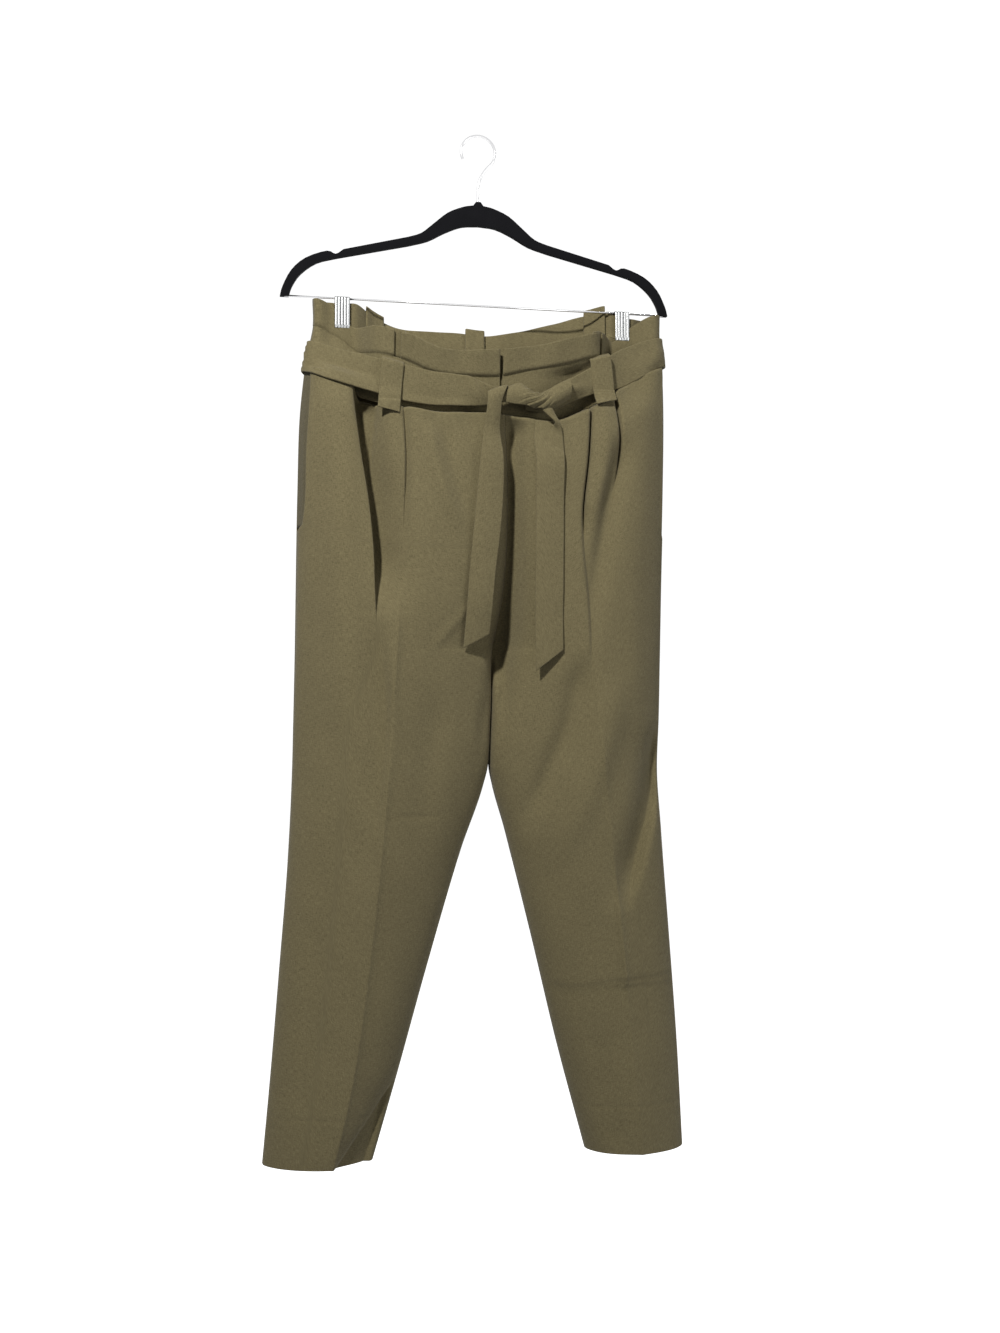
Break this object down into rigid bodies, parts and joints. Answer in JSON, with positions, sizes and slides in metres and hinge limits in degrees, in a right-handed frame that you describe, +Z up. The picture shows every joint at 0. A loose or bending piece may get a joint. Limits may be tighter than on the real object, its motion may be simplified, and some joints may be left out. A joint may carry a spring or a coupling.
{
  "type": "paperbag waist trousers on a clip hanger",
  "caption": "High-waisted tapered trousers with a paperbag frill and a tied fabric belt, held by the clips of a flocked hanger.",
  "frame": {"origin": "the seat inside the top of the hanger's hook, where a rail carries it", "axes": "+Z up, the garment's front faces -Y, +X to the right of somebody looking at the front"},
  "size_m": [0.4772, 0.1006, 1.1716],
  "materials": {
    "olive_cloth": "matt plain-weave suiting crepe, olive khaki",
    "black_flocking": "flocked, like black velvet",
    "bright_wire": "bright plated steel"
  },
  "bodies": {
    "root": {"front_left": "olive_cloth", "front_right": "olive_cloth", "back_left": "olive_cloth", "back_right": "olive_cloth", "pocket_facing_left": "olive_cloth", "pocket_facing_right": "olive_cloth", "frill_front_left": "olive_cloth", "frill_front_right": "olive_cloth", "frill_back": "olive_cloth", "waistband_front_left": "olive_cloth", "waistband_front_right": "olive_cloth", "waistband_back": "olive_cloth", "fly_zip": "olive_cloth", "fly_shield": "olive_cloth", "belt_round_waist": "olive_cloth", "belt_tail_left": "olive_cloth", "belt_tail_right": "olive_cloth", "belt_knot": "olive_cloth", "loop_front_left": "olive_cloth", "loop_front_right": "olive_cloth", "loop_back_left": "olive_cloth", "loop_back_centre": "olive_cloth", "loop_back_right": "olive_cloth", "hanger_body": "black_flocking", "hook": "bright_wire", "hanger_bar": "bright_wire", "clip_left": "bright_wire", "clip_right": "bright_wire"}
  },
  "joints": []
}
